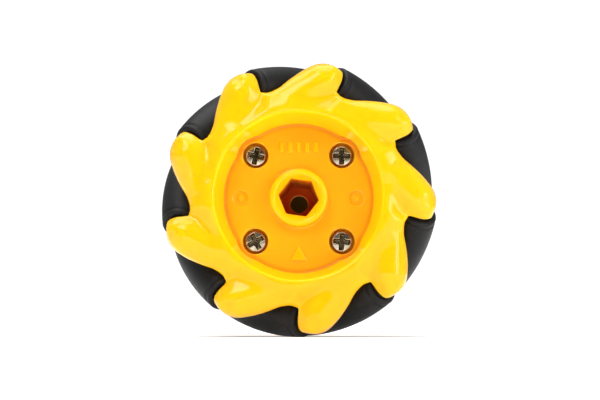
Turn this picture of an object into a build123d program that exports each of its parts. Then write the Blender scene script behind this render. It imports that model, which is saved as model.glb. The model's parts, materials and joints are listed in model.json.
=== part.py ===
from build123d import *

import os
from math import atan2, cos, degrees, hypot, radians, sin, sqrt

# Mecanum wheel, millimetres. The axle is Y, the motor side faces -Y, and the origin is the wheel's centre.

# Wheel and rollers
WHEEL_R = 24.0               # rolling radius over the treads
ROLLER_COUNT = 9
PITCH = 360 / ROLLER_COUNT
ROLLER_TILT = 45.0           # roller axis to wheel axle
ROLLER_AXIS_R = 19.5         # wheel centre to each roller axis
FIRST_ROLLER_ANGLE = 12.5    # middle of roller 1, from +X towards +Z
TREAD_HALF_LENGTH = 10.7
TREAD_SHOULDER = 0.6         # rounding of the tread's ends
TREAD_GROOVE_FROM_END = 1.0
TREAD_GROOVE_DEPTH = 0.15
CORE_HALF_LENGTH = 10.95     # the core stands proud of the tread and carries the end thrust
CORE_R = 2.2
AXLE_R = 1.0
AXLE_HALF_LENGTH = 13.2
AXLE_CHAMFER = 0.15
RUNNING_CLEARANCE = 0.05     # core bore over axle, radial
ROLLER_CLEARANCE = 0.45      # hub halves around each tread

# Hub halves: heights are measured outwards from the parting plane in the middle of the wheel
CREST_HEIGHT = 12.6
CREST_R = 15.9
RECESS_R = 12.9
RECESS_MOUTH_R = 14.6
RECESS_MOUTH_HEIGHT = 11.4
RECESS_FLOOR = 6.3
FLOOR_THICKNESS = 1.8
DRUM_R = 14.4                # cylinder inside the ring of rollers
DRUM_WALL = 1.8
FLANGE_START = 5.2           # where the drum flares out into the fingers
FLANGE_R = 17.5
FLANGE_UNDERSIDE = 9.0
LOBE_SHOULDER = (21.0, 12.1) # radius and height where the lobes start to fall away
LOBE_EDGE_HEIGHT = 10.0
LOBE_EDGE_ROUNDING = 1.1
TIP_LEAD = 24.5              # lobe tip ahead of its roller's middle
TIP_R = 23.7
VALLEY_R = 19.1

# Fingers that hold the axle ends
FINGER_FACE = 11.25          # along the roller axis, from the roller's middle
FINGER_END = 14.2
FINGER_R = 2.75
SOCKET_CLEARANCE = 0.02
SOCKET_END = 13.3
SOCKET_SLOT_RUN = 3.0        # the sockets open towards the parting plane

# Centre boss and its hex socket
BOSS_R = 5.0
BOSS_HEIGHT = 8.9
BOSS_EDGE_ROUNDING = 0.5
HEX_FLATS = 6.06
HEX_TURN = -8.4              # a corner of the hex, from +X towards +Z
HEX_LEAD_IN_R = 4.15
HEX_LEAD_IN_DEPTH = 0.5
LEAD_IN_TAPER = 45
HEX_END = 7.0                # depth of the socket's end beyond the parting plane
RETAINER_R = 1.6             # hole for the axle's retaining screw

# Hub screws
SCREW_SPACING = 15.0
SCREW_POCKET_R = 2.16
SCREW_SEAT = 4.4             # height of the surface under the heads
SCREW_SHANK_R = 1.0
SCREW_TIP = -4.6
SCREW_HOLE_R = 1.15
PILOT_R = 1.02
PILOT_END = 5.0
POST_R = 2.9
HEAD_R = 1.7
HEAD_HEIGHT = 1.15
HEAD_ROUNDING = 0.35
CROSS_LENGTH = 2.7
CROSS_WIDTH = 0.75
CROSS_DEPTH = 0.7
CROSS_TAPER = 12
CROSS_CORNER_R = 0.2
CROSS_TURNS = {(1, 1): -1.0, (-1, 1): -13.0, (-1, -1): 28.0, (1, -1): -5.0}
DRIVER_RELIEF_R = 2.9        # the recess wall bulges out around each screw
DRIVER_RELIEF_TAPER = -16
RIB_THICKNESS = 1.2

# Marks on the recess floor
GATE_R = 1.25
GATE_OFFSET = 10.1
GATE_DEPTH = 0.25
NUB_R = 0.45
MARK_HEIGHT = 0.25
POINTER_OFFSET = 10.0
POINTER_R = 1.7
BAR_OFFSET = 8.9
BAR_COUNT = 5
BAR_STEP = 1.5
BAR_WIDTH = 0.7
BAR_LENGTH = 1.8

MARGIN = 1.0                 # how far cutters run past the surface they cut
BARREL_ITERATIONS = 8
FRONT = Plane.XZ             # normal towards -Y


def polar(radius, angle):
    return radius * cos(radians(angle)), radius * sin(radians(angle))


def back_face():
    """The parting plane seen from behind, turned so that roller 1 lies at the same local angle."""
    x, z = polar(1, 2 * FIRST_ROLLER_ANGLE)
    return Plane(origin=(0, 0, 0), x_dir=(x, 0, z), z_dir=(0, 1, 0))


def roller_plane(index):
    """At the middle of a roller: X out from the wheel's centre, Z along the roller towards +Y."""
    angle = radians(FIRST_ROLLER_ANGLE + index * PITCH)
    tilt = radians(ROLLER_TILT)
    radial = Vector(cos(angle), 0, sin(angle))
    along = Vector(sin(tilt) * sin(angle), cos(tilt), -sin(tilt) * cos(angle))
    return Plane(origin=radial * ROLLER_AXIS_R, x_dir=radial, z_dir=along)


def section_plane(plane):
    """Half section of a round shape that stands on a plane: X is the radius and Y the height."""
    return Plane(origin=plane.origin, x_dir=plane.x_dir, z_dir=plane.x_dir.cross(plane.z_dir))


def barrel_radius(station):
    """Radius of a roller, at a station along it, that keeps its surface on the wheel's rolling cylinder."""
    slant = sin(radians(ROLLER_TILT))
    foot = station
    for _ in range(BARREL_ITERATIONS):
        swing = atan2(foot * slant, ROLLER_AXIS_R)
        reach = WHEEL_R - ROLLER_AXIS_R / cos(swing)
        foot = station - reach * slant * sin(swing)
    return reach * sqrt(1 - (slant * sin(swing)) ** 2)


def barrel_edge(half_length, growth=0.0):
    """Builds the long convex edge of a roller in the open line context."""
    stations = [half_length * step for step in (-1, -0.5, 0, 0.5, 1)]
    return Spline(*[(barrel_radius(station) + growth, station) for station in stations])


def lobe_outline():
    """Nine curled lobes: a steep hook on one side of each tip and a long slope on the other."""
    lobe = [
        (-9.3, VALLEY_R),
        (-7.0, 21.0),
        (-4.6, 23.2),
        (0.0, TIP_R),
        (6.0, 23.2),
        (13.0, 21.6),
        (21.0, 20.0),
        (27.5, 19.2),
    ]
    points = []
    for index in range(ROLLER_COUNT):
        tip = FIRST_ROLLER_ANGLE + TIP_LEAD + index * PITCH
        points += [polar(radius, tip + angle) for angle, radius in lobe]
    return points


def envelope(face):
    """Outer form of a hub half: lobed dome with its recess, solid down to the parting plane."""
    with BuildPart() as form:
        with BuildSketch(section_plane(face)):
            with BuildLine():
                edge_foot = (TIP_R + MARGIN, LOBE_EDGE_HEIGHT)
                crest = (CREST_R, CREST_HEIGHT)
                mouth = (RECESS_MOUTH_R, RECESS_MOUTH_HEIGHT)
                wall = (RECESS_R - RECESS_MOUTH_R, RECESS_FLOOR - RECESS_MOUTH_HEIGHT)
                Polyline((0, RECESS_FLOOR), (0, 0), (TIP_R + MARGIN, 0), edge_foot)
                Spline(edge_foot, LOBE_SHOULDER, crest, tangents=((-1, 2), (-1, 0)))
                Spline(crest, mouth, tangents=((-1, 0), wall))
                Polyline(mouth, (RECESS_R, RECESS_FLOOR), (0, RECESS_FLOOR))
            make_face()
        revolve(axis=Axis((0, 0, 0), face.z_dir))
        with BuildSketch(face):
            with BuildLine():
                Spline(*lobe_outline(), periodic=True)
            make_face()
        extrude(amount=CREST_HEIGHT + MARGIN, mode=Mode.INTERSECT)
        rim = form.edges().filter_by(lambda edge: edge.center().dot(face.z_dir) > FLANGE_UNDERSIDE)
        rim = rim.filter_by(lambda edge: hypot(edge.center().X, edge.center().Z) > CREST_R + MARGIN)
        fillet(rim, radius=LOBE_EDGE_ROUNDING)
    return form.part


def under_flange(face, side):
    """What is open below a half's flange: everything but the drum and the round bosses of the fingers."""
    with BuildPart() as space:
        with BuildSketch(section_plane(face)):
            with BuildLine():
                Polyline(
                    (DRUM_R, -MARGIN),
                    (DRUM_R, FLANGE_START),
                    (FLANGE_R, FLANGE_UNDERSIDE),
                    (TIP_R + 2 * MARGIN, FLANGE_UNDERSIDE),
                    (TIP_R + 2 * MARGIN, -MARGIN),
                    close=True,
                )
            make_face()
        revolve(axis=Axis((0, 0, 0), face.z_dir))
        for index in range(ROLLER_COUNT):
            with BuildSketch(roller_plane(index).offset(side * (FINGER_FACE - MARGIN))):
                Circle(FINGER_R)
            extrude(amount=side * (FINGER_END - FINGER_FACE + MARGIN), mode=Mode.SUBTRACT)
    return space.part


def roller_room():
    """The space that the nine rollers turn in, cut from both hub halves."""
    with BuildPart() as room:
        for index in range(ROLLER_COUNT):
            plane = roller_plane(index)
            with BuildSketch(section_plane(plane)):
                with BuildLine():
                    edge = barrel_edge(FINGER_FACE, ROLLER_CLEARANCE)
                    Polyline(edge @ 1, (0, FINGER_FACE), (0, -FINGER_FACE), edge @ 0)
                make_face()
            revolve(axis=Axis(plane.origin, plane.z_dir))
    return room.part


def axle_sockets(side):
    """Blind round sockets for the axle ends, each open in a slot towards the parting plane."""
    radius = AXLE_R + SOCKET_CLEARANCE
    start = FINGER_FACE - MARGIN
    tilt = radians(ROLLER_TILT)
    with BuildPart() as sockets:
        for index in range(ROLLER_COUNT):
            plane = roller_plane(index)
            with BuildSketch(plane.offset(side * start)):
                Circle(radius)
            extrude(amount=side * (SOCKET_END - start))
            tangent = Plane(origin=plane.origin, x_dir=plane.z_dir, z_dir=plane.x_dir)
            run = -side * SOCKET_SLOT_RUN * sin(tilt)
            with BuildSketch(tangent):
                with BuildLine():
                    Polyline(
                        (side * start, 0),
                        (side * SOCKET_END, 0),
                        (side * SOCKET_END + run, run),
                        (side * start + run, run),
                        close=True,
                    )
                make_face()
            extrude(amount=radius, both=True)
    return sockets.part


def screw_spots():
    """Centres of the four hub screws as (X, Z) signs of the square that they stand on."""
    return [(x * SCREW_SPACING / 2, z * SCREW_SPACING / 2) for x, z in CROSS_TURNS]


def inside(face):
    """The hollow behind a half's floor, less the centre tube, the screw posts and their ribs."""
    depth = RECESS_FLOOR - FLOOR_THICKNESS
    spots = [face.to_local_coords(Vector(x, 0, z)) for x, z in screw_spots()]
    with BuildPart() as hollow:
        with BuildSketch(face):
            Circle(DRUM_R - DRUM_WALL)
            Circle(BOSS_R, mode=Mode.SUBTRACT)
            with Locations(*[(spot.X, spot.Y) for spot in spots]):
                Circle(POST_R, mode=Mode.SUBTRACT)
            for spot in spots:
                with Locations(Location((0, 0, 0), (0, 0, degrees(atan2(spot.Y, spot.X))))):
                    Rectangle(DRUM_R, RIB_THICKNESS, align=(Align.MIN, Align.CENTER), mode=Mode.SUBTRACT)
        extrude(amount=depth)
    return hollow.part


def hub_form(face, side):
    """The shape that both halves share: lobed plate, recess, fingers, sockets, hollow and centre boss."""
    with BuildPart() as form:
        add(envelope(face))
        add(under_flange(face, side), mode=Mode.SUBTRACT)
        add(roller_room(), mode=Mode.SUBTRACT)
        add(axle_sockets(side), mode=Mode.SUBTRACT)
        add(inside(face), mode=Mode.SUBTRACT)
        with BuildSketch(face.offset(RECESS_FLOOR)):
            Circle(BOSS_R)
        extrude(amount=BOSS_HEIGHT - RECESS_FLOOR)
        boss_top = form.edges().filter_by(GeomType.CIRCLE)
        boss_top = boss_top.filter_by(lambda edge: abs(edge.radius - BOSS_R) < 0.01)
        fillet(boss_top.sort_by(Axis((0, 0, 0), face.z_dir))[-1], radius=BOSS_EDGE_ROUNDING)
    return form.part


def centre_hex(end_height):
    """The hex socket's space, from in front of the boss to a height behind the parting plane."""
    with BuildPart() as socket:
        with BuildSketch(FRONT.offset(BOSS_HEIGHT + MARGIN)):
            RegularPolygon(HEX_FLATS / 2, 6, major_radius=False, rotation=HEX_TURN)
        extrude(amount=-(BOSS_HEIGHT + MARGIN + end_height))
    return socket.part


def hub_screw(x, z, turn):
    """Pan head screw with its head towards -Y, a plain shank and a cross recess turned about the axis."""
    with BuildPart() as screw:
        with BuildSketch(Plane(origin=(x, -SCREW_SEAT, z), x_dir=(1, 0, 0), z_dir=(0, -1, 0))):
            Circle(HEAD_R)
        extrude(amount=HEAD_HEIGHT)
        fillet(screw.edges().sort_by(Axis.Y)[0], radius=HEAD_ROUNDING)
        with BuildSketch(Plane(origin=(x, -SCREW_SEAT, z), x_dir=(1, 0, 0), z_dir=(0, 1, 0))):
            Circle(SCREW_SHANK_R)
        extrude(amount=SCREW_SEAT - SCREW_TIP)
        chamfer(screw.edges().sort_by(Axis.Y)[-1], length=SCREW_SHANK_R / 2)
        top = Plane(origin=(x, -SCREW_SEAT - HEAD_HEIGHT, z), x_dir=(1, 0, 0), z_dir=(0, -1, 0))
        with BuildSketch(top.rotated((0, 0, turn))) as cross:
            Rectangle(CROSS_LENGTH, CROSS_WIDTH)
            Rectangle(CROSS_WIDTH, CROSS_LENGTH)
            fillet(cross.vertices().sort_by_distance((0, 0, 0))[:4], radius=CROSS_CORNER_R)
        extrude(amount=-CROSS_DEPTH, taper=CROSS_TAPER, mode=Mode.SUBTRACT)
    return screw.part


def floor_marks(face, depth):
    """Round gate marks sunk beside the boss, as the space that they take from the floor."""
    with BuildPart() as marks:
        with BuildSketch(face.offset(RECESS_FLOOR)):
            with GridLocations(2 * GATE_OFFSET, 0, 2, 1):
                Circle(GATE_R)
        extrude(amount=-depth)
        with BuildSketch(face.offset(RECESS_FLOOR - depth)):
            with GridLocations(2 * GATE_OFFSET, 0, 2, 1):
                Circle(NUB_R)
        extrude(amount=depth, mode=Mode.SUBTRACT)
    return marks.part


def roller_tread(index):
    """Rubber barrel whose surface lies on the wheel's rolling cylinder, with a fine groove near each end."""
    plane = roller_plane(index)
    groove = TREAD_HALF_LENGTH - TREAD_GROOVE_FROM_END
    with BuildPart() as tread:
        with BuildSketch(section_plane(plane)) as section:
            with BuildLine():
                edge = barrel_edge(TREAD_HALF_LENGTH)
                Polyline(edge @ 1, (CORE_R, TREAD_HALF_LENGTH), (CORE_R, -TREAD_HALF_LENGTH), edge @ 0)
            make_face()
            fillet(section.vertices().sort_by(Axis.X)[-2:], radius=TREAD_SHOULDER)
            with Locations((barrel_radius(groove), groove), (barrel_radius(groove), -groove)):
                Circle(TREAD_GROOVE_DEPTH, mode=Mode.SUBTRACT)
        revolve(axis=Axis(plane.origin, plane.z_dir))
    return tread.part


def roller_core(index):
    """Rigid sleeve inside the tread, with running clearance on the axle."""
    plane = roller_plane(index)
    with BuildPart() as core:
        with BuildSketch(plane):
            Circle(CORE_R)
            Circle(AXLE_R + RUNNING_CLEARANCE, mode=Mode.SUBTRACT)
        extrude(amount=CORE_HALF_LENGTH, both=True)
    return core.part


def roller_axle(index):
    """Steel pin with chamfered ends."""
    with BuildPart() as axle:
        with BuildSketch(roller_plane(index)):
            Circle(AXLE_R)
        extrude(amount=AXLE_HALF_LENGTH, both=True)
        chamfer(axle.edges().filter_by(GeomType.CIRCLE), length=AXLE_CHAMFER)
    return axle.part


def write(part, name):
    part.label = name
    export_step(part, f"parts/{name}.step")


os.makedirs("parts", exist_ok=True)

# Front half: the hex socket's mouth, the screw heads' pockets and the raised marks
with BuildPart() as front_hub:
    add(hub_form(FRONT, -1))
    add(centre_hex(MARGIN), mode=Mode.SUBTRACT)
    with BuildSketch(FRONT.offset(BOSS_HEIGHT)):
        Circle(HEX_LEAD_IN_R)
    extrude(amount=-HEX_LEAD_IN_DEPTH, taper=LEAD_IN_TAPER, mode=Mode.SUBTRACT)
    with BuildSketch(FRONT.offset(RECESS_FLOOR)):
        with GridLocations(SCREW_SPACING, SCREW_SPACING, 2, 2):
            Circle(DRIVER_RELIEF_R)
    extrude(amount=CREST_HEIGHT - RECESS_FLOOR, taper=DRIVER_RELIEF_TAPER, mode=Mode.SUBTRACT)
    with BuildSketch(FRONT.offset(RECESS_FLOOR)):
        with GridLocations(SCREW_SPACING, SCREW_SPACING, 2, 2):
            Circle(SCREW_POCKET_R)
    extrude(amount=SCREW_SEAT - RECESS_FLOOR, mode=Mode.SUBTRACT)
    with BuildSketch(FRONT.offset(SCREW_SEAT)):
        with GridLocations(SCREW_SPACING, SCREW_SPACING, 2, 2):
            Circle(SCREW_HOLE_R)
    extrude(amount=-(SCREW_SEAT + MARGIN), mode=Mode.SUBTRACT)
    add(floor_marks(FRONT, GATE_DEPTH), mode=Mode.SUBTRACT)
    with BuildSketch(FRONT.offset(RECESS_FLOOR)):
        with Locations((0, BAR_OFFSET)):
            with GridLocations(BAR_STEP, 0, BAR_COUNT, 1):
                Rectangle(BAR_WIDTH, BAR_LENGTH)
        with Locations((0, -POINTER_OFFSET)):
            RegularPolygon(POINTER_R, 3, rotation=90)
    extrude(amount=MARK_HEIGHT)
write(front_hub.part, "front_hub")

# Back half: the socket's closed end with the retaining screw's hole, and blind holes for the hub screws
with BuildPart() as back_hub:
    add(hub_form(back_face(), 1))
    add(centre_hex(HEX_END), mode=Mode.SUBTRACT)
    with BuildSketch(FRONT):
        Circle(RETAINER_R)
    extrude(amount=-(BOSS_HEIGHT + MARGIN), mode=Mode.SUBTRACT)
    with BuildSketch(FRONT.offset(MARGIN)):
        with GridLocations(SCREW_SPACING, SCREW_SPACING, 2, 2):
            Circle(PILOT_R)
    extrude(amount=-(PILOT_END + MARGIN), mode=Mode.SUBTRACT)
    add(floor_marks(back_face(), GATE_DEPTH), mode=Mode.SUBTRACT)
write(back_hub.part, "back_hub")

with BuildPart() as hub_screws:
    for (side_x, side_z), turn in CROSS_TURNS.items():
        add(hub_screw(side_x * SCREW_SPACING / 2, side_z * SCREW_SPACING / 2, turn))
write(hub_screws.part, "hub_screws")

for roller in range(ROLLER_COUNT):
    write(roller_tread(roller), f"roller_tread_{roller + 1}")
    write(roller_core(roller), f"roller_core_{roller + 1}")
    write(roller_axle(roller), f"roller_axle_{roller + 1}")
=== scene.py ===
import json
import math

import bpy
import numpy as np
from mathutils import Matrix, Vector
from mathutils.kdtree import KDTree


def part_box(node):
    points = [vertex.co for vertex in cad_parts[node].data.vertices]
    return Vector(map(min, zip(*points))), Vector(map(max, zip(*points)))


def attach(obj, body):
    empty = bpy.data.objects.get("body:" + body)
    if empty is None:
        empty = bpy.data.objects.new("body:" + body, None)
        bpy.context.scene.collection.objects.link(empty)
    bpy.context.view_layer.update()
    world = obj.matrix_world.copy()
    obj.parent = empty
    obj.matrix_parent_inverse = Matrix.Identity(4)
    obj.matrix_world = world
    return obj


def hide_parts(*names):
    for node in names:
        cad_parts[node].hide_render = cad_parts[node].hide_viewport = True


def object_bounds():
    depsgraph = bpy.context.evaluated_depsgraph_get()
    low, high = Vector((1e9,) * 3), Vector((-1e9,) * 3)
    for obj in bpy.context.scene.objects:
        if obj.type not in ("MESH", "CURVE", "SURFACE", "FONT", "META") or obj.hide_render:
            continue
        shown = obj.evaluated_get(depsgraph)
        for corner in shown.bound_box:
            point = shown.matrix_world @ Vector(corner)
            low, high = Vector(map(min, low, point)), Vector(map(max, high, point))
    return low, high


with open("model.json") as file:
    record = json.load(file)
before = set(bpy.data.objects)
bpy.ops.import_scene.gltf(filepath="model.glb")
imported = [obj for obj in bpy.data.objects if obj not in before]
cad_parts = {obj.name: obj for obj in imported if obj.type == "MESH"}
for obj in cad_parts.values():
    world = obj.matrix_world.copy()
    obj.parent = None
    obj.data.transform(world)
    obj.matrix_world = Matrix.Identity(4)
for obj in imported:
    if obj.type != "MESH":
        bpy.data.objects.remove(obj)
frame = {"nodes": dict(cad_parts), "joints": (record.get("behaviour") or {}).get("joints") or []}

# Mecanum wheel. The frame is in metres; shapes are modelled in millimetres and scaled when they become
# meshes. The axle is Y and the motor side faces -Y. Each hub half is modelled on its own face: x and y across
# the wheel, h outwards from the parting plane in the middle.
MM = 0.001
CAD_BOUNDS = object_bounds()
JOINTS = frame["joints"]
HUB_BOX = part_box("front_hub")

# Sizes of the wheel, in millimetres and degrees
ROLLERS = len(JOINTS)
PITCH = 360 / ROLLERS
ROLLER_AXIS_R = Vector(JOINTS[0]["pos_m"]).length / MM
FIRST_ANGLE = math.degrees(math.atan2(JOINTS[0]["pos_m"][2], JOINTS[0]["pos_m"][0]))
SLANT = math.sqrt(0.5)                       # sine and cosine of the rollers' 45 degrees
WHEEL_R = 24.0
CREST_H = -HUB_BOX[0].y / MM
CREST_R = 15.2
SKIRT_SLOPE = 0.55                           # how steeply the ring's top falls, well outside its crest
SKIRT_BEND = 1.2
CREASE_LOW = (9.0, 16.9)                     # where the crease is nearest the axle: angle from a tip, radius
CREASE_BEND = (0.0055, 0.009)                # how fast it runs outwards on either side of there
CREASE_DEPTH = 0.8
CREASE_WIDTH = (2.1, 1.7)                    # towards the axle, and towards the lobe
CREASE_START = -14.0                         # angles from a tip are counted from here
CREASE_FADE = (-11, -5, 10, 21)              # angles where it starts, is full, is full still, and has gone
LOBE_ROUNDING = (1.0, 0.9)                   # of the outline's edge everywhere, and what is added on a lobe
LOBE_SWELL = 7.0                             # the addition's middle, from the tip, and its width, in degrees
RECESS_R = 12.9
RECESS_DRAFT = 0.24
FLOOR_H = 6.3
FLOOR_THICKNESS = 1.8
DRUM_R = 14.4
DRUM_WALL = 1.8
FLARE_H = 5.2
FLANGE_R = 17.5
FLANGE_H = 8.6
THUMB_FOOT = 8.6
THUMB_INNER = (17.7, 12.0, 9.0, 2.75)        # radius, angle from the tip, height, and the rod's own radius
THUMB_OUTER = (20.35, 2.6, 9.25, 2.95)
BOSS_R = 5.0
BOSS_H = 8.9
HEX_FLATS = 6.06
HEX_TURN = -8.4
HEX_CORNER = 0.15
LEAD_IN_R = 4.15
LEAD_IN_DEPTH = 1.2
HEX_END = 7.0
RETAINER_R = 1.6
HEAD_R = 1.82
HEAD_H = 1.15
HEAD_CROWN = 0.045                           # the head's top falls by this much times its radius squared
SHANK_R = 1.0
SHANK_END = -4.6
SHANK_POINT_R = 0.25
SHANK_POINT_SLOPE = 0.9
THREAD_PITCH = 0.8
THREAD_DEPTH = 0.22
CROSS_HALF = (0.44, 1.56)                    # half width and half length of each arm, at the top
CROSS_TAPER = (0.14, 0.4)                    # what each loses with depth
CROSS_HUB = (0.62, 0.35)                     # the same for the round middle
CROSS_DEPTH = 0.95
CROSS_TURNS = [(-1, 1, -13), (1, 1, -1), (-1, -1, 28), (1, -1, -5)]   # sides of x and y, turn in degrees
SCREW_OFFSET = 7.5
POCKET_R = 2.2
SEAT_H = 4.4
SCREW_HOLE_R = 1.15
PILOT_R = 1.02
PILOT_DEPTH = 5.0
POST_R = 2.9
RELIEF_R = 3.2
RELIEF_TAPER = 0.25
RIB = 1.2
FINGER_FACE = 11.25
FINGER_END = 14.2
FINGER_R = 2.75
TIP_R = 23.4
TIP_LEAD = 24.5
SOCKET_R = 1.02
SOCKET_END = 13.3
SOCKET_RUN = 3.0
ROOM = 0.45                                  # clearance of the hub around the treads
ROOM_BULGE = 4.5                             # a parabola within 0.02 mm of the treads' barrel
ROOM_BEND = 0.01165
ROOM_ROUNDING = 0.45
TREAD_HALF = 10.7
TREAD_FACE_END = 1.25                        # where the plain face ends, from the tread's end
GROOVE_MIDDLE = 1.05
GROOVE = [(0.10, 1.12), (0.16, 1.0), (0.08, 0.88)]   # depth, and distance from the tread's end
LIP_R = 0.6
DISH_IN = 0.75                               # the dished end's curve: its centre in from the lip, its radius
DISH_R = 0.45
DISH_BACK = 0.35
CORE_R = 2.2

# How far surfaces are rounded, or flow into each other
FLANGE_FLOW = 0.8
RIM_ROUNDING = 0.5
THUMB_FLOW = 2.0
FINGER_FLOW = 0.9
FINGER_ROUNDING = 0.9
TIP_ROUNDING = 0.8
RECESS_EDGE = 0.5
RECESS_FOOT = 0.15
RELIEF_FLOW = 0.4
BOSS_EDGE = 0.6
BOSS_FOOT = 0.3
SOCKET_EDGE = 0.12
HOLE_EDGE = 0.15
HOLLOW_ROUNDING = 0.25

# Marks in the recess
GATE_PLACE = 10.1
GATE_R = 1.25
GATE_DEPTH = 0.28
PIP_R = 0.45
PIP_MIDDLE = 0.3                             # below the recess's floor
PIP_HALF = 0.35
MARK_HALF = 0.25                             # how far the raised marks reach above and below that floor
BARS = 5
BAR_PITCH = 1.5
BAR_Y = 8.9
BAR_HALF = (0.35, 0.9)
ARROW_Y = -10.0
ARROW_R = 0.85                               # of the circle inside the triangle
COS_30 = 0.866
FAR = 10                                     # added to a distance to leave a shape out
MARK_ROUNDING = 0.15

# Outline of one lobe: angle from its tip, anticlockwise seen from outside, and radius. The thumbs and fingers
# are blended in later, and take the finished tips out to 23.65.
LOBE = [
    (-12.0, 18.7), (-9.2, 18.85), (-7.4, 19.7), (-6.0, 21.1), (-4.2, 22.45), (0.0, 23.3), (6.0, 22.8),
    (10.0, 22.05), (14.0, 20.8), (18.0, 19.75), (22.0, 19.15), (25.0, 18.9),
]

# Stage, in metres and degrees, with the lens in millimetres
CAMERA_DISTANCE = 0.252
CAMERA_AZIMUTH = 0.3
CAMERA_ELEVATION = -4.6
CAMERA_LENS = 84.884
CAMERA_SHIFT = (0.00183, 0.002)
FLOOR_REACH = 0.45
SHADE_R = 9.0 * MM
SHADE_Y = 10.5 * MM

BACK_TURN = math.radians(2 * FIRST_ANGLE)
FRONT_AXES = (Vector((1, 0, 0)), Vector((0, 0, 1)), Vector((0, -1, 0)))
BACK_AXES = (
    Vector((math.cos(BACK_TURN), 0, math.sin(BACK_TURN))),
    Vector((math.sin(BACK_TURN), 0, -math.cos(BACK_TURN))),
    Vector((0, 1, 0)),
)


# ---------------------------------------------------------------- camera, light and floor

def clear_defaults():
    """Removes what Blender's own start-up file holds."""
    for name in ("Cube", "Camera", "Light"):
        if name in bpy.data.objects:
            bpy.data.objects.remove(bpy.data.objects[name])


def make_camera():
    """Looks at the wheel from the motor side, from just under the axle's height."""
    azimuth = math.radians(CAMERA_AZIMUTH)
    rise = math.tan(math.radians(CAMERA_ELEVATION))
    away = Vector((math.sin(azimuth), -math.cos(azimuth), rise)).normalized()
    data = bpy.data.cameras.new("camera")
    data.sensor_width = 36.0
    data.lens = CAMERA_LENS
    data.clip_start = 0.001
    data.shift_x, data.shift_y = CAMERA_SHIFT
    camera = bpy.data.objects.new("camera", data)
    camera.location = away * CAMERA_DISTANCE
    camera.rotation_euler = (-away).to_track_quat("-Z", "Y").to_euler()
    bpy.context.scene.collection.objects.link(camera)
    bpy.context.scene.camera = camera


def make_light(name, place, size, power):
    """A white softbox that faces the wheel."""
    data = bpy.data.lights.new(name, "AREA")
    data.shape = "RECTANGLE"
    data.size, data.size_y = size
    data.energy = power
    light = bpy.data.objects.new(name, data)
    light.location = place
    light.rotation_euler = (-Vector(place)).to_track_quat("-Z", "Y").to_euler()
    bpy.context.scene.collection.objects.link(light)


def make_floor():
    """Pale matt paper that glows, more so further out, to stay white away from the lights."""
    z = CAD_BOUNDS[0].z
    corners = [(x * FLOOR_REACH, y * FLOOR_REACH, z) for x, y in ((-1, -1), (1, -1), (1, 1), (-1, 1))]
    mesh = bpy.data.meshes.new("floor")
    mesh.from_pydata(corners, [], [(0, 1, 2, 3)])
    floor = bpy.data.objects.new("floor", mesh)
    bpy.context.scene.collection.objects.link(floor)
    material = new_material("floor")
    n = Nodes(material)
    n.set(Base_Color=(0.95, 0.95, 0.945, 1), Roughness=0.9, Specular_IOR_Level=0.0)
    n.set(Emission_Color=(1, 1, 1, 1))
    away = n.add("ShaderNodeVectorMath")
    away.operation = "LENGTH"
    n.link(n.place, away.inputs[0])
    glow = n.add("ShaderNodeMapRange", From_Min=0.05, From_Max=0.35, To_Min=0.32, To_Max=0.75)
    n.link(away.outputs["Value"], glow.inputs["Value"])
    n.link(glow.outputs["Result"], n.shader.inputs["Emission Strength"])
    mesh.materials.append(material)


def make_shade_card():
    """A dark card in the outer recess, a sheet of painted shade. It shows only from the motor side, through
    the retaining screw's hole, which in the photograph is dark because the wheel lies on a table."""
    mesh = bpy.data.meshes.new("shade_card")
    points = [polar(SHADE_R, a) for a in range(0, 360, 10)]
    mesh.from_pydata([(x, SHADE_Y, z) for x, z in points], [], [tuple(range(len(points)))])
    card = bpy.data.objects.new("shade_card", mesh)
    bpy.context.scene.collection.objects.link(card)
    for ray in ("diffuse", "transmission", "shadow"):
        setattr(card, f"visible_{ray}", False)
    material = new_material("shade_card")
    tree = material.node_tree
    shader = tree.nodes["Principled BSDF"]
    shader.inputs["Base Color"].default_value = (0.01, 0.006, 0.004, 1)
    shader.inputs["Roughness"].default_value = 0.9
    mix = tree.nodes.new("ShaderNodeMixShader")
    tree.links.new(tree.nodes.new("ShaderNodeNewGeometry").outputs["Backfacing"], mix.inputs[0])
    tree.links.new(shader.outputs["BSDF"], mix.inputs[1])
    tree.links.new(tree.nodes.new("ShaderNodeBsdfTransparent").outputs["BSDF"], mix.inputs[2])
    tree.links.new(mix.outputs["Shader"], tree.nodes["Material Output"].inputs["Surface"])
    mesh.materials.append(material)


def make_studio():
    """White surroundings, dimmer from the front, with three softboxes."""
    world = bpy.data.worlds.new("studio")
    bpy.context.scene.world = world
    world.use_nodes = True
    tree = world.node_tree
    seen = tree.nodes.new("ShaderNodeLightPath").outputs["Is Camera Ray"]
    aim = tree.nodes.new("ShaderNodeSeparateXYZ")
    tree.links.new(tree.nodes.new("ShaderNodeTexCoord").outputs["Generated"], aim.inputs["Vector"])
    dim = tree.nodes.new("ShaderNodeMapRange")
    for name, value in (("From Min", -1), ("From Max", -0.1), ("To Min", 0.05), ("To Max", 0.42)):
        dim.inputs[name].default_value = value
    tree.links.new(aim.outputs["Y"], dim.inputs["Value"])
    strength = tree.nodes.new("ShaderNodeMapRange")
    strength.inputs["To Max"].default_value = 1.1
    tree.links.new(dim.outputs["Result"], strength.inputs["To Min"])
    tree.links.new(seen, strength.inputs["Value"])
    tree.links.new(strength.outputs["Result"], tree.nodes["Background"].inputs["Strength"])
    tree.nodes["Background"].inputs["Color"].default_value = (1, 1, 1, 1)
    make_light("overhead", (-0.05, -0.02, 0.45), (0.5, 0.4), 2.1)
    make_light("key", (-0.14, -0.34, 0.32), (0.22, 0.22), 1.12)
    make_light("fill", (0.34, -0.24, 0.05), (0.16, 0.30), 1.0)
    make_floor()
    make_shade_card()


# ---------------------------------------------------------------- materials

def new_material(name):
    material = bpy.data.materials.new(name)
    material.use_nodes = True
    return material


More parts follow.
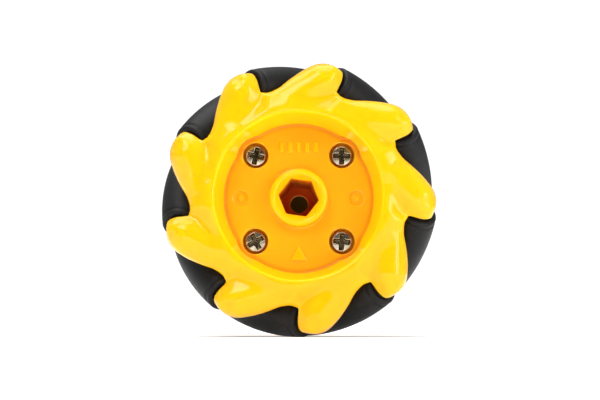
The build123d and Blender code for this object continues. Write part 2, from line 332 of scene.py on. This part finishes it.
class Nodes:
    """Short names for building a node tree around the Principled shader."""

    def __init__(self, material):
        self.tree = material.node_tree
        self.shader = self.tree.nodes["Principled BSDF"]
        self.place = self.add("ShaderNodeTexCoord").outputs["Object"]

    def add(self, kind, **inputs):
        node = self.tree.nodes.new(kind)
        for name, value in inputs.items():
            node.inputs[name.replace("_", " ")].default_value = value
        return node

    def link(self, source, target):
        self.tree.links.new(source, target)

    def noise(self, scale, detail=3.0, roughness=0.5):
        node = self.add("ShaderNodeTexNoise", Scale=scale, Detail=detail, Roughness=roughness)
        self.link(self.place, node.inputs["Vector"])
        return node.outputs["Fac"]

    def ramp(self, source, *stops):
        node = self.add("ShaderNodeValToRGB")
        for _ in stops[2:]:
            node.color_ramp.elements.new(0.5)
        for element, (position, colour) in zip(node.color_ramp.elements, stops):
            element.position = position
            element.color = (*colour, 1)
        self.link(source, node.inputs["Fac"])
        return node.outputs["Color"]

    def span(self, source, low, high):
        node = self.add("ShaderNodeMapRange", To_Min=low, To_Max=high)
        self.link(source, node.inputs["Value"])
        return node.outputs["Result"]

    def math(self, operation, first, second=None):
        node = self.add("ShaderNodeMath")
        node.operation = operation
        for socket, value in zip(node.inputs, (first, second)):
            if isinstance(value, float):
                socket.default_value = value
            elif value is not None:
                self.link(value, socket)
        return node.outputs["Value"]

    def tint(self, source, colour, amount):
        node = self.add("ShaderNodeMix")
        node.data_type = "RGBA"
        self.link(amount, node.inputs["Factor"])
        self.link(source, node.inputs[6])
        node.inputs[7].default_value = (*colour, 1)
        return node.outputs[2]

    def square(self, source):
        return self.math("MULTIPLY", source, source)

    def inside(self, source, full, none):
        """1 up to one distance in millimetres, and 0 from another."""
        node = self.add("ShaderNodeMapRange", From_Min=full * MM, From_Max=none * MM, To_Min=1, To_Max=0)
        self.link(source, node.inputs["Value"])
        return node.outputs["Result"]

    def length(self, a, b):
        return self.math("POWER", self.math("ADD", self.square(a), self.square(b)), 0.5)

    def both(self, a, b):
        return self.math("MULTIPLY", a, b)

    def bump(self, source, strength, distance):
        node = self.add("ShaderNodeBump", Strength=strength, Distance=distance)
        self.link(source, node.inputs["Height"])
        self.link(node.outputs["Normal"], self.shader.inputs["Normal"])

    def set(self, **values):
        for name, value in values.items():
            self.shader.inputs[name.replace("_", " ")].default_value = value


def hub_plastic():
    """Glossy yellow moulded plastic that lets light through. Its colour holds painted shade and painted
    light: the recess's thin floor, the foot of the recess's wall, the socket and the screw pockets are
    painted darker and more orange, and the recess's wall is painted lighter and yellower. In the socket and
    the screw pockets, which core pins made, it is also matt."""
    material = new_material("hub_plastic")
    n = Nodes(material)
    split = n.add("ShaderNodeSeparateXYZ")
    n.link(n.place, split.inputs["Vector"])
    x, y, z = (split.outputs[axis] for axis in "XYZ")
    height = n.math("ABSOLUTE", y)
    radius = n.length(x, z)

    # the socket: painted shade, darker and redder, and matt
    flats = None
    for side in range(3):
        angle = math.radians(HEX_TURN + 30 + 60 * side)
        across_x, across_z = n.math("MULTIPLY", x, math.cos(angle)), n.math("MULTIPLY", z, math.sin(angle))
        across = n.math("ABSOLUTE", n.math("ADD", across_x, across_z))
        flats = across if flats is None else n.math("MAXIMUM", flats, across)
    in_bore = n.inside(flats, HEX_FLATS / 2 + 0.03, HEX_FLATS / 2 + 0.08)
    bore_shade_and_matt = n.both(in_bore, n.inside(height, BOSS_H - 0.5, BOSS_H - 0.4))

    # the screw pockets: painted shade, darker and more orange, and matt
    gap_x = n.math("SUBTRACT", n.math("ABSOLUTE", x), SCREW_OFFSET * MM)
    gap_z = n.math("SUBTRACT", n.math("ABSOLUTE", z), SCREW_OFFSET * MM)
    in_pocket = n.inside(n.length(gap_x, gap_z), POCKET_R + 0.02, POCKET_R + 0.2)
    sunk = n.inside(n.math("MULTIPLY", y, -1.0), FLOOR_H - 0.5, FLOOR_H)
    motor_side = n.inside(y, -3.0, -2.0)
    pocket_shade_and_matt = n.both(n.both(in_pocket, sunk), motor_side)

    # painted shade: the recess's floor is painted darker and more orange
    floor = n.inside(height, FLOOR_H + 0.02, FLOOR_H + 0.2)
    # painted light: the recess's wall is painted lighter and yellower
    painted_light_recess_wall = n.both(n.inside(radius, 14.3, 14.7), n.inside(radius, 12.8, 12.2))
    painted_light_recess_wall = n.both(painted_light_recess_wall, n.inside(height, 7.2, 6.6))
    # painted shade: a darker orange line where the recess's wall meets its floor
    painted_shade_wall_foot = n.both(n.inside(height, 6.45, 6.7), n.inside(radius, 12.8, 12.1))

    colour = n.ramp(n.noise(60, 2), (0.3, (0.92, 0.46, 0.002)), (0.7, (0.94, 0.49, 0.003)))
    # painted shade and painted light, mixed into the colour by place
    for area, share, tint in (
        (floor, 0.8, (0.90, 0.405, 0.010)),
        (painted_light_recess_wall, 0.8, (0.93, 0.64, 0.003)),
        (painted_shade_wall_foot, 0.8, (0.80, 0.27, 0.008)),
        (pocket_shade_and_matt, 1.0, (0.86, 0.33, 0.004)),
        (bore_shade_and_matt, 1.0, (0.72, 0.20, 0.004)),
    ):
        colour = n.tint(colour, tint, n.math("MULTIPLY", area, share))
    n.link(colour, n.shader.inputs["Base Color"])

    gloss = n.span(n.noise(900, 4, 0.6), 0.08, 0.13)
    matt = n.math("MULTIPLY", n.math("MAXIMUM", bore_shade_and_matt, pocket_shade_and_matt), 0.45)
    n.link(n.math("ADD", gloss, matt), n.shader.inputs["Roughness"])
    n.set(Subsurface_Weight=0.5, Subsurface_Radius=(0.0035, 0.0020, 0.0002), Subsurface_Scale=1.0)
    n.set(IOR=1.45, Specular_IOR_Level=0.27)
    n.bump(n.noise(500, 2), 0.02, 0.0001)
    return material


def tread_rubber():
    """Satin black rubber with a faint moulded grain and dust."""
    material = new_material("tread_rubber")
    n = Nodes(material)
    dust = n.noise(1400, 5, 0.7)
    colour = n.ramp(dust, (0.35, (0.005, 0.005, 0.0055)), (0.8, (0.012, 0.012, 0.012)))
    n.link(colour, n.shader.inputs["Base Color"])
    n.link(n.span(n.noise(500, 4), 0.46, 0.58), n.shader.inputs["Roughness"])
    n.set(Specular_IOR_Level=0.21)
    n.bump(n.noise(5000, 3), 0.12, 0.00005)
    return material


def core_plastic():
    """Hard black plastic for the sleeves."""
    material = new_material("core_plastic")
    n = Nodes(material)
    colour = n.ramp(n.noise(800), (0.3, (0.012, 0.011, 0.011)), (0.7, (0.02, 0.02, 0.02)))
    n.link(colour, n.shader.inputs["Base Color"])
    n.link(n.span(n.noise(1200), 0.35, 0.5), n.shader.inputs["Roughness"])
    n.bump(n.noise(4000), 0.1, 0.00005)
    return material


def bright_metal(name, low, high, scratches):
    """Plated or ground metal, between two colours, with fine scratches."""
    material = new_material(name)
    n = Nodes(material)
    n.link(n.ramp(n.noise(900, 5, 0.6), (0.3, low), (0.75, high)), n.shader.inputs["Base Color"])
    n.link(n.span(n.noise(2500, 4, 0.7), 0.14, 0.32), n.shader.inputs["Roughness"])
    n.set(Metallic=1.0)
    n.bump(n.noise(scratches, 4, 0.7), 0.06, 0.00001)
    return material


# ---------------------------------------------------------------- mesh tools

def steps(*spans):
    """Grid lines from a list of (start, end, step) spans that follow on from each other."""
    lines = [np.arange(start, end - step / 4, step) for start, end, step in spans]
    return np.concatenate(lines + [[spans[-1][1]]]).astype(np.float32)


def surface_net(field, xs, ys, zs):
    """Vertices and quads of the surface where the field is zero; the field is negative inside."""
    inside = field < 0
    counts = np.zeros([n - 1 for n in field.shape], np.int8)
    total = np.zeros((*counts.shape, 3), np.float32)
    grid = (xs, ys, zs)
    for axis in range(3):
        first = [slice(None)] * 3
        second = [slice(None)] * 3
        first[axis], second[axis] = slice(0, -1), slice(1, None)
        a, b = field[tuple(first)], field[tuple(second)]
        crossing = inside[tuple(first)] != inside[tuple(second)]
        i = np.argwhere(crossing)
        part = a[crossing] / (a[crossing] - b[crossing])
        point = np.stack([grid[k][i[:, k]] for k in range(3)], 1)
        point[:, axis] += part * (grid[axis][i[:, axis] + 1] - grid[axis][i[:, axis]])
        others = [k for k in range(3) if k != axis]
        for shift_a in (0, -1):
            for shift_b in (0, -1):
                cell = i.copy()
                cell[:, others[0]] += shift_a
                cell[:, others[1]] += shift_b
                ok = ((cell >= 0) & (cell < counts.shape)).all(1)
                where = tuple(cell[ok].T)
                counts[where] += 1
                total[where] += point[ok]
    used = counts > 0
    number = np.full(counts.shape, -1, np.int32)
    number[used] = np.arange(used.sum())
    verts = total[used] / counts[used][:, None]
    quads = []
    for axis in range(3):
        first = [slice(None)] * 3
        second = [slice(None)] * 3
        first[axis], second[axis] = slice(0, -1), slice(1, None)
        starts, ends = inside[tuple(first)], inside[tuple(second)]
        others = [(axis + 1) % 3, (axis + 2) % 3]
        i = np.argwhere(starts != ends)
        i = i[(i[:, others[0]] > 0) & (i[:, others[1]] > 0)]
        corner = []
        for shift_a, shift_b in ((-1, -1), (0, -1), (0, 0), (-1, 0)):
            cell = i.copy()
            cell[:, others[0]] += shift_a
            cell[:, others[1]] += shift_b
            corner.append(number[tuple(cell.T)])
        quad = np.stack(corner, 1)
        flip = ~starts[tuple(i.T)]
        quad[flip] = quad[flip][:, ::-1]
        quads.append(quad)
    return verts, np.concatenate(quads)


def sample(field, where):
    """The field at points given as fractional grid indices."""
    low = np.minimum(where.astype(int), np.array(field.shape) - 2)
    part = where - low
    total = 0
    for corner in np.ndindex(2, 2, 2):
        weight = np.prod(np.where(corner, part, 1 - part), 1)
        total = total + weight * field[tuple((low + corner).T)]
    return total


def polish(verts, field, grid):
    """Moves a net's vertices onto the surface, and gives the surface's own normals there."""
    slopes = np.gradient(field, *grid)

    def read(points):
        where = np.stack([np.interp(points[:, k], grid[k], np.arange(len(grid[k]))) for k in range(3)], 1)
        return sample(field, where), np.stack([sample(slope, where) for slope in slopes], 1)

    gap, slope = read(verts)
    length = np.maximum((slope**2).sum(1), 0.3)
    move = -slope * (gap / length)[:, None]
    verts = verts + np.clip(move, -0.06, 0.06)
    _, slope = read(verts)
    return verts, slope / np.maximum(np.linalg.norm(slope, axis=1), 1e-6)[:, None]


def make_object(name, verts, faces, material, body, normals=None):
    """A smooth piece that rides on a CAD body. verts are in metres, in the frame."""
    mesh = bpy.data.meshes.new(name)
    mesh.from_pydata(verts, [], faces)
    mesh.materials.append(material)
    mesh.shade_smooth()
    if normals is not None:
        mesh.normals_split_custom_set_from_vertices(normals)
    piece = bpy.data.objects.new(name, mesh)
    bpy.context.scene.collection.objects.link(piece)
    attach(piece, body)
    return piece


def to_frame(points, axes):
    """Points on a hub face, in millimetres, as points of the frame in metres."""
    basis = np.array([list(axis) for axis in axes], np.float32)
    return (points @ basis) * MM


# ---------------------------------------------------------------- distance fields, negative inside

def round_max(a, b, radius):
    """Intersection with a rounded edge."""
    inner = np.minimum(np.maximum(a, b), -radius)
    return np.hypot(np.maximum(a + radius, 0), np.maximum(b + radius, 0)) + inner


def round_min(a, b, radius):
    """Union with a rounded inner corner."""
    return -round_max(-a, -b, radius)


def soft_min(a, b, width):
    """Union whose surfaces flow into each other over a wide band."""
    blend = np.maximum(width - np.abs(a - b), 0) / width
    return np.minimum(a, b) - blend * blend * width / 4


def capsule(x, y, h, start, end, start_r, end_r):
    """A rod with round ends whose radius changes along it."""
    start, end = np.array(start, np.float32), np.array(end, np.float32)
    run = end - start
    t = ((x - start[0]) * run[0] + (y - start[1]) * run[1] + (h - start[2]) * run[2]) / float(run @ run)
    t = np.clip(t, 0, 1)
    gap_x, gap_y, gap_h = (v - start[k] - t * run[k] for k, v in enumerate((x, y, h)))
    return np.sqrt(gap_x**2 + gap_y**2 + gap_h**2) - (start_r + t * (end_r - start_r))


def polar(radius, angle):
    return radius * math.cos(math.radians(angle)), radius * math.sin(math.radians(angle))


def lobe_radius(angle):
    """Radius of the hub's outline at an angle from a lobe's tip, by a closed smooth curve through LOBE."""
    knots = [a for a, _ in LOBE]
    radii = [r for _, r in LOBE]
    knots = np.array([knots[-2] - PITCH, knots[-1] - PITCH, *knots, knots[0] + PITCH, knots[1] + PITCH])
    radii = np.array([radii[-2], radii[-1], *radii, radii[0], radii[1]])
    slopes = np.zeros(len(knots))
    slopes[1:-1] = (radii[2:] - radii[:-2]) / (knots[2:] - knots[:-2])
    angle = (angle - LOBE[0][0]) % PITCH + LOBE[0][0]
    i = np.clip(np.searchsorted(knots, angle) - 1, 1, len(knots) - 3)
    width = knots[i + 1] - knots[i]
    t = (angle - knots[i]) / width
    return (
        (2 * t**3 - 3 * t**2 + 1) * radii[i]
        + (t**3 - 2 * t**2 + t) * width * slopes[i]
        + (3 * t**2 - 2 * t**3) * radii[i + 1]
        + (t**3 - t**2) * width * slopes[i + 1]
    )


def outline_distance(x, y):
    """Distance to the hub's lobed outline over a flat grid, negative inside."""
    angles = np.linspace(0, 360, 360 * 12, endpoint=False)
    radii = lobe_radius(angles - FIRST_ANGLE - TIP_LEAD)
    tree = KDTree(len(angles))
    for i, (a, r) in enumerate(zip(np.radians(angles), radii)):
        tree.insert((r * math.cos(a), r * math.sin(a), 0), i)
    tree.balance()
    gap = np.array([tree.find((px, py, 0))[2] for px, py in zip(x.ravel(), y.ravel())]).reshape(x.shape)
    tips = np.degrees(np.arctan2(y, x)) - FIRST_ANGLE - TIP_LEAD
    inside = np.hypot(x, y) < lobe_radius(tips)
    return np.where(inside, -gap, gap).astype(np.float32)


def barrel_radius(station):
    """Radius of a roller, at a station along it, that keeps its surface on the wheel's rolling cylinder."""
    foot = station
    for _ in range(8):
        swing = np.arctan2(foot * SLANT, ROLLER_AXIS_R)
        reach = WHEEL_R - ROLLER_AXIS_R / np.cos(swing)
        foot = station - reach * SLANT * np.sin(swing)
    return reach * np.sqrt(1 - (SLANT * np.sin(swing)) ** 2)


def along_roller(x, y, h, angle):
    """Station along a roller, towards its outer end on this face, and the offsets across it."""
    c, s = math.cos(math.radians(angle)), math.sin(math.radians(angle))
    radial = x * c + y * s - ROLLER_AXIS_R
    tangent = y * c - x * s
    return (tangent + h) * SLANT, radial, (tangent - h) * SLANT


class HubForm:
    """The distance field of a hub half on a grid of lines in x, y and h."""

    def __init__(self, xs, ys, hs):
        self.x, self.y, self.h = xs[:, None, None], ys[None, :, None], hs[None, None, :]
        self.r = np.hypot(self.x, self.y)
        angle = np.degrees(np.arctan2(self.y, self.x))
        # the place of each point turned back to the sector of the first roller
        self.turn = np.round((angle - FIRST_ANGLE) / PITCH) * PITCH
        c, s = np.cos(np.radians(self.turn)), np.sin(np.radians(self.turn))
        self.sector_x = (self.x * c + self.y * s).astype(np.float32)
        self.sector_y = (self.y * c - self.x * s).astype(np.float32)
        self.flat = outline_distance(self.x[..., 0] + 0 * self.y[..., 0], self.y[..., 0] + 0 * self.x[..., 0])

    def each_sector(self, shape):
        """The union of a shape over a sector and its two neighbours."""
        result = None
        for step in (-1, 0, 1):
            field = shape(FIRST_ANGLE + step * PITCH)
            result = field if result is None else np.minimum(result, field)
        return result

    def dome(self):
        """Ring with a rounded crest, and the skirt that carries the lobes."""
        outside = np.maximum(self.r - CREST_R, 0)
        bend = np.hypot(outside, SKIRT_BEND)
        tips = np.degrees(np.arctan2(self.y, self.x)) - FIRST_ANGLE - TIP_LEAD
        near = (tips - CREASE_START) % PITCH + CREASE_START
        past_low = near - CREASE_LOW[0]
        crease = CREASE_LOW[1] + np.where(past_low < 0, *CREASE_BEND) * past_low**2
        fade = np.interp(near, CREASE_FADE, (0, 1, 1, 0))
        width = np.where(self.r < crease, *CREASE_WIDTH)
        carve = CREASE_DEPTH * fade * fade * (3 - 2 * fade) * np.exp(-(((self.r - crease) / width) ** 2))
        top = CREST_H - SKIRT_SLOPE * (bend - SKIRT_BEND) - carve
        slope = 1 / np.sqrt(1 + (SKIRT_SLOPE * outside / bend) ** 2)
        everywhere, added = LOBE_ROUNDING
        rounding = everywhere + added * np.exp(-(((near - LOBE_SWELL) / LOBE_SWELL) ** 2))
        return round_max((self.h - top) * slope, self.flat[:, :, None], rounding)

    def thumbs(self):
        """The bulging tip of each lobe, over the end of a roller's axle."""
        def thumb(angle):
            ends = []
            for radius, past_tip, height, _ in (THUMB_INNER, THUMB_OUTER):
                ends.append((*polar(radius, angle + TIP_LEAD + past_tip), height))
            return capsule(self.sector_x, self.sector_y, self.h, *ends, THUMB_INNER[3], THUMB_OUTER[3])
        return self.each_sector(thumb)

    def fingers(self):
        """Round bosses along the axles' ends, trimmed to the wheel's outside."""
        def finger(angle):
            station, radial, across = along_roller(self.sector_x, self.sector_y, self.h, angle)
            rod = np.hypot(radial, across) - FINGER_R
            length = np.abs(station - FINGER_FACE) - (FINGER_END - FINGER_FACE)
            return round_max(rod, length, FINGER_ROUNDING)
        return round_max(self.each_sector(finger), self.r - TIP_R, TIP_ROUNDING)

    def rooms(self):
        """The space that the rollers turn in."""
        def room(angle):
            station, radial, across = along_roller(self.sector_x, self.sector_y, self.h, angle)
            bulge = ROOM_BULGE - ROOM_BEND * station**2
            rod = np.hypot(radial, across) - bulge - ROOM
            return np.maximum(rod, np.abs(station) - FINGER_FACE)
        return self.each_sector(room)

    def sockets(self):
        """Blind sockets for the axle ends, slotted towards the parting plane."""
        def socket(angle):
            station, radial, across = along_roller(self.sector_x, self.sector_y, self.h, angle)
            drop = np.clip(across * 2 * SLANT, 0, SOCKET_RUN)
            moved_station, moved_across = station + drop * SLANT, across - drop * SLANT
            rod = np.hypot(radial, moved_across) - SOCKET_R
            return np.maximum(rod, np.abs(moved_station - FINGER_FACE) - (SOCKET_END - FINGER_FACE))
        return self.each_sector(socket)

    def screw_gap(self):
        """Distance across the face from the nearest hub screw's axis."""
        return np.hypot(np.abs(self.screw_x) - SCREW_OFFSET, np.abs(self.screw_y) - SCREW_OFFSET)

    def plate(self):
        """Everything but the centre: dome, drum, flange, fingers, room for the rollers and the recess."""
        flare_run, flare_rise = FLANGE_R - DRUM_R, FLANGE_H - FLARE_H
        flare_length = math.hypot(flare_run, flare_rise)
        flare = ((self.r - DRUM_R) * flare_rise - (self.h - FLARE_H) * flare_run) / flare_length
        body = soft_min(np.minimum(self.r - DRUM_R, flare), FLANGE_H - self.h, FLANGE_FLOW)
        form = round_max(self.dome(), body, RIM_ROUNDING)
        form = soft_min(form, np.maximum(self.thumbs(), THUMB_FOOT - self.h), THUMB_FLOW)
        form = soft_min(form, self.fingers(), FINGER_FLOW)
        form = round_max(form, -self.rooms(), ROOM_ROUNDING)
        return np.maximum(form, -self.sockets())

    def recess(self):
        """Drafted round recess, widened where a screwdriver reaches the hub screws."""
        tilt = 1 / math.sqrt(1 + RECESS_DRAFT**2)
        wall = (self.r - RECESS_R - (self.h - FLOOR_H) * RECESS_DRAFT) * tilt
        relief = self.screw_gap() - RELIEF_R + (self.h - FLOOR_H) * RELIEF_TAPER
        wall = soft_min(wall, relief, RELIEF_FLOW)
        return round_max(wall, FLOOR_H - self.h, RECESS_FOOT)

    def build(self, axes):
        """The whole half: the face's own details differ between the motor side and the outer side."""
        front = axes is FRONT_AXES
        if front:
            self.screw_x, self.screw_y = self.x, self.y
        else:
            c, s = math.cos(BACK_TURN), math.sin(BACK_TURN)
            self.screw_x, self.screw_y = self.x * c + self.y * s, self.x * s - self.y * c
        form = round_max(self.plate(), -self.recess(), RECESS_EDGE)
        form = np.maximum(form, -self.hollow())
        boss = round_max(self.r - BOSS_R, self.h - BOSS_H, BOSS_EDGE)
        form = round_min(form, boss, BOSS_FOOT)
        form = self.details(form, front)
        return np.maximum(form, -self.h)

    def hollow(self):
        """The closed space between the floors, around the centre tube, the screw posts and their ribs."""
        ribs = np.abs(np.abs(self.screw_x) - np.abs(self.screw_y)) * SLANT - RIB / 2
        keep = np.minimum(np.minimum(self.r - BOSS_R, self.screw_gap() - POST_R), ribs)
        space = np.maximum(self.r - DRUM_R + DRUM_WALL, self.h - FLOOR_H + FLOOR_THICKNESS)
        return round_max(space, -keep, HOLLOW_ROUNDING)

    def details(self, form, front):
        """Socket and screw holes, gate marks, and on the motor side the raised bars and triangle."""
        x, y = self.screw_x, self.screw_y
        hexagon = None
        for side in range(3):
            angle = math.radians(HEX_TURN + 30) + side * math.pi / 3
            flats = np.abs(x * math.cos(angle) + y * math.sin(angle)) - HEX_FLATS / 2
            hexagon = flats if hexagon is None else round_max(hexagon, flats, HEX_CORNER)
        lead_in = (self.r - LEAD_IN_R - (self.h - BOSS_H)) * SLANT
        if front:
            form = round_max(form, -hexagon, SOCKET_EDGE)
            lead_in = np.maximum(lead_in, BOSS_H - LEAD_IN_DEPTH - self.h)
            form = round_max(form, -lead_in, SOCKET_EDGE)
            gap = self.screw_gap()
            form = round_max(form, -np.maximum(gap - POCKET_R, SEAT_H - self.h), HOLE_EDGE)
            form = np.maximum(form, SCREW_HOLE_R - gap)
        else:
            form = np.maximum(form, -np.maximum(hexagon, self.h - HEX_END))
            form = round_max(form, RETAINER_R - self.r, HOLE_EDGE)
            form = np.maximum(form, -np.maximum(self.screw_gap() - PILOT_R, self.h - PILOT_DEPTH))
        gate = np.hypot(np.abs(x) - GATE_PLACE, y)
        dish = np.maximum(gate - GATE_R, FLOOR_H - GATE_DEPTH - self.h)
        form = round_max(form, -dish, MARK_ROUNDING)
        pip_h = np.abs(self.h - FLOOR_H + PIP_MIDDLE) - PIP_HALF
        form = np.minimum(form, round_max(gate - PIP_R, pip_h, MARK_ROUNDING))
        if front:
            row = BARS * BAR_PITCH / 2
            bar_x = np.abs((x + row) % BAR_PITCH - BAR_PITCH / 2) + FAR * (np.abs(x) > row)
            bar = round_max(bar_x - BAR_HALF[0], np.abs(y - BAR_Y) - BAR_HALF[1], MARK_ROUNDING)
            arrow_side = np.abs(x) * COS_30 + (y - ARROW_Y) * 0.5 - ARROW_R
            arrow = round_max(arrow_side, -ARROW_R - (y - ARROW_Y), MARK_ROUNDING)
            marks = np.minimum(bar, arrow)
            raised = round_max(marks, np.abs(self.h - FLOOR_H) - MARK_HALF, 0.12)
            form = np.minimum(form, raised)
        return form


def make_hub_halves(material):
    """Both halves from one form, on a grid that is finest at the socket and the raised marks."""
    finest, fine, coarse = ((0.1, 0.2, 0.28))
    edge, centre, socket = TIP_R + 0.6, 13.5, 4.4
    arrow_low, arrow_high = -11.4, -8.4
    bars_low, bars_high = 7.8, 10.0
    start, end = (-edge, -centre, coarse), (centre, edge, coarse)
    xs = steps(start, (-centre, -socket, fine), (-socket, socket, finest), (socket, centre, fine), end)
    ys = steps(
        start, (-centre, arrow_low, fine), (arrow_low, arrow_high, finest), (arrow_high, -socket, fine),
        (-socket, socket, finest), (socket, bars_low, fine), (bars_low, bars_high, finest),
        (bars_high, centre, fine), end,
    )
    hs = steps(
        (-0.4, SEAT_H - 0.4, coarse), (SEAT_H - 0.4, FLOOR_H - 0.4, fine),
        (FLOOR_H - 0.4, FLOOR_H + 0.5, finest), (FLOOR_H + 0.5, BOSS_H + 0.3, fine),
        (BOSS_H + 0.3, CREST_H + 0.6, coarse),
    )
    form = HubForm(xs, ys, hs)
    for name, axes in (("front_hub", FRONT_AXES), ("back_hub", BACK_AXES)):
        field = form.build(axes).astype(np.float32)
        verts, quads = surface_net(field, xs, ys, hs)
        verts, normals = polish(verts, field, (xs, ys, hs))
        if axes[0].cross(axes[1]).dot(axes[2]) < 0:
            quads = quads[:, ::-1]
        placed, turned = to_frame(verts, axes), to_frame(normals, axes) / MM
        piece = make_object(f"{name}_shell", placed, quads, material, "hub", turned)
        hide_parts(name)


# ---------------------------------------------------------------- rollers, axles and screws

def lathe(profile, segments):
    """Rings of points from (radius, station) pairs around Z; the profile is closed on itself."""
    angles = np.linspace(0, 2 * math.pi, segments, endpoint=False)
    verts = [(r * math.cos(a), r * math.sin(a), z) for r, z in profile for a in angles]
    count = len(profile)
    faces = []
    for i in range(count):
        j = (i + 1) % count
        for k in range(segments):
            m = (k + 1) % segments
            faces.append((i * segments + k, i * segments + m, j * segments + m, j * segments + k))
    return verts, faces


def arc(centre, radius, start, end, count):
    return [
        (centre[0] + radius * math.cos(math.radians(a)), centre[1] + radius * math.sin(math.radians(a)))
        for a in np.linspace(start, end, count)
    ]


def tread_profile():
    """Section of a tread: a long convex face, and at each end a fine groove, a rounded lip and a dish."""
    stations = np.linspace(0, TREAD_HALF - TREAD_FACE_END, 18)
    half = [(float(barrel_radius(s)), float(s)) for s in stations]
    groove = float(barrel_radius(TREAD_HALF - GROOVE_MIDDLE))
    half += [(groove - depth, TREAD_HALF - back) for depth, back in GROOVE]
    lip = float(barrel_radius(TREAD_HALF - LIP_R))
    half += arc((lip - LIP_R, TREAD_HALF - LIP_R), LIP_R, 20, 90, 7)
    half += arc((lip - DISH_IN, TREAD_HALF - DISH_R), DISH_R, 90, 150, 4)
    half += [(CORE_R + 0.1, TREAD_HALF - DISH_BACK), (CORE_R, TREAD_HALF - DISH_BACK)]
    low = [(r, -s) for r, s in reversed(half[1:])]
    return low + half


def roller_matrix(joint):
    """From a tread's own millimetres, along Z, to its place in the frame."""
    axis = Vector(joint["axis"]).normalized()
    place = Vector(joint["pos_m"])
    radial = place.normalized()
    turn = Matrix((radial, axis.cross(radial), axis)).transposed().to_4x4()
    return Matrix.Translation(place) @ turn @ Matrix.Scale(MM, 4)


def make_treads(material):
    verts, faces = lathe(tread_profile(), 96)
    for joint in JOINTS:
        number = joint["child"].split("_")[-1]
        matrix = roller_matrix(joint)
        placed = [tuple(matrix @ Vector(v)) for v in verts]
        piece = make_object(f"tread_{number}", placed, faces, material, joint["child"])
        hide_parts(f"roller_tread_{number}")


def screw_form(x, y, h):
    """Distance field of a small pan-head screw with a cross recess and a coarse thread."""
    r = np.hypot(x, y)
    top = SEAT_H + HEAD_H - HEAD_CROWN * r**2
    head = round_max(round_max(r - HEAD_R, h - top, 0.24), SEAT_H - h, 0.08)
    turn = np.arctan2(y, x) / (2 * math.pi)
    tooth = np.abs((h / THREAD_PITCH - turn) % 1 - 0.5)
    shank = np.maximum(r - SHANK_R + THREAD_DEPTH * tooth, SHANK_END - h)
    point = r - SHANK_POINT_R - (h - SHANK_END) * SHANK_POINT_SLOPE
    shank = np.maximum(shank, point * 0.74)
    form = np.minimum(head, np.maximum(shank, h - SEAT_H - 0.2))
    depth = SEAT_H + HEAD_H - h
    arms = None
    for a, b in ((x, y), (y, x)):
        side = np.abs(a) - CROSS_HALF[0] + CROSS_TAPER[0] * depth
        end = np.abs(b) - CROSS_HALF[1] + CROSS_TAPER[1] * depth
        arm = round_max(side, end, 0.14)
        arms = arm if arms is None else round_min(arms, arm, 0.22)
    hub_r, hub_taper = CROSS_HUB
    arms = round_min(arms, r - hub_r + hub_taper * depth, 0.15)
    return round_max(form, -np.maximum(arms, depth - CROSS_DEPTH), 0.06)


def make_screws(material, recess):
    """The four hub screws, from one mesh. The faces of the cross have their own, darker material, which
    paints shade into the cross.
    """
    step = 0.05
    line = steps((-HEAD_R - 0.2, HEAD_R + 0.2, step))
    low, middle, high = SHANK_END - 0.3, SEAT_H - 0.3, SEAT_H + HEAD_H + 0.3
    heights = steps((low, middle, 2 * step), (middle, high, step))
    form = screw_form(line[:, None, None], line[None, :, None], heights[None, None, :])
    verts, quads = surface_net(form.astype(np.float32), line, line, heights)
    x, y, h = verts[quads].mean(1).T
    sunk = SEAT_H + HEAD_H - HEAD_CROWN * (x**2 + y**2) - h
    in_cross = ((sunk > 0.07) & (np.hypot(x, y) < 1.6) & (h > SEAT_H)).astype(np.int32)
    for number, (side_x, side_y, spin) in enumerate(CROSS_TURNS):
        c, s = math.cos(math.radians(spin)), math.sin(math.radians(spin))
        placed = np.stack([
            verts[:, 0] * c - verts[:, 1] * s + side_x * SCREW_OFFSET,
            verts[:, 0] * s + verts[:, 1] * c + side_y * SCREW_OFFSET,
            verts[:, 2],
        ], 1)
        placed = to_frame(placed, FRONT_AXES)
        piece = make_object(f"hub_screw_{number + 1}", placed, quads, material, "hub")
        # painted shade: the cross's faces take the darker metal
        piece.data.materials.append(recess)
        piece.data.polygons.foreach_set("material_index", in_cross)
        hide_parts("hub_screws")


def dress(nodes, material):
    """Gives CAD nodes that keep their shape a better material."""
    for name in nodes:
        data = frame["nodes"][name].data
        data.materials.clear()
        data.materials.append(material)


clear_defaults()
make_camera()
make_studio()
yellow = hub_plastic()
rubber = tread_rubber()
core = core_plastic()
steel = bright_metal("axle_steel", (0.42, 0.42, 0.43), (0.62, 0.62, 0.62), 6000)
nickel = bright_metal("screw_plating", (0.38, 0.34, 0.25), (0.70, 0.64, 0.50), 5000)
make_hub_halves(yellow)
make_treads(rubber)
dress([f"roller_core_{i + 1}" for i in range(ROLLERS)], core)
dress([f"roller_axle_{i + 1}" for i in range(ROLLERS)], steel)
# the screws' cross recess gets a darker metal: painted shade
make_screws(nickel, bright_metal("screw_recess_painted_shade", (0.10, 0.07, 0.035), (0.34, 0.27, 0.15), 5000))

bpy.context.scene.view_settings.view_transform = "Standard"
